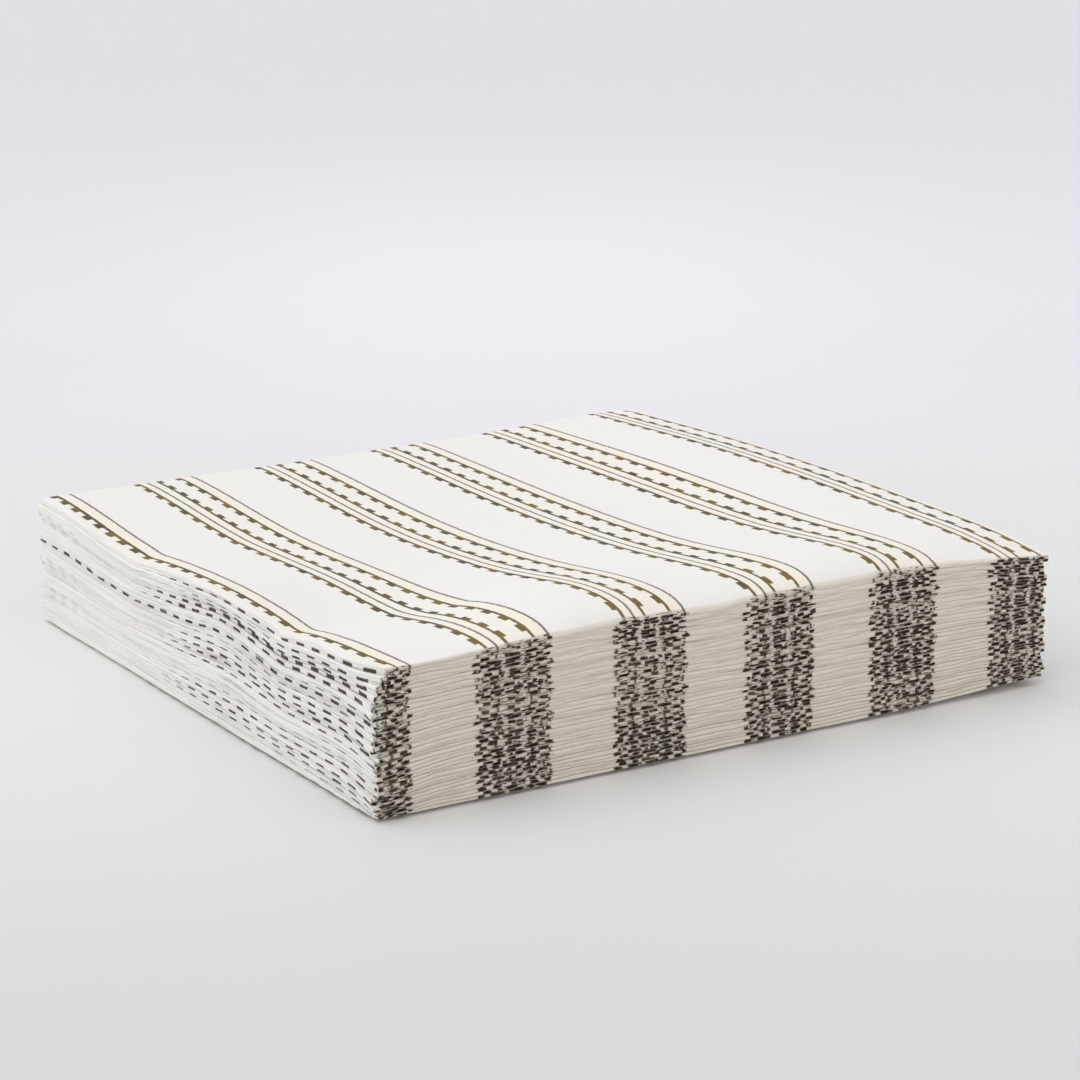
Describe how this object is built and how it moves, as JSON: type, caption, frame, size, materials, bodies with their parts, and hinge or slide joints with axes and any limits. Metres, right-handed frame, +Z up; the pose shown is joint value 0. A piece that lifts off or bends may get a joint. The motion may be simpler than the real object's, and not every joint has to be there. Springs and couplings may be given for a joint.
{
  "type": "stack of paper napkins",
  "caption": "Free-standing stack of quarter-folded square tissue napkins with printed stripes, each napkin a folded sheet of its own.",
  "frame": {"origin": "on the surface the stack rests on, under the middle of the stack", "axes": "+Z up through the stack, -Y towards the first fold (two bulges on each napkin), -X towards the last fold, +X and +Y towards the cut edges"},
  "size_m": [0.1666, 0.166, 0.0337],
  "materials": {
    "printed_tissue": "soft matt embossed tissue with an olive brown striped print"
  },
  "bodies": {
    "root": {"napkin_01": "printed_tissue", "napkin_02": "printed_tissue", "napkin_03": "printed_tissue", "napkin_04": "printed_tissue", "napkin_05": "printed_tissue", "napkin_06": "printed_tissue", "napkin_07": "printed_tissue", "napkin_08": "printed_tissue", "napkin_09": "printed_tissue", "napkin_10": "printed_tissue", "napkin_11": "printed_tissue", "napkin_12": "printed_tissue", "napkin_13": "printed_tissue", "napkin_14": "printed_tissue", "napkin_15": "printed_tissue", "napkin_16": "printed_tissue", "napkin_17": "printed_tissue", "napkin_18": "printed_tissue", "napkin_19": "printed_tissue", "napkin_20": "printed_tissue"}
  },
  "joints": []
}
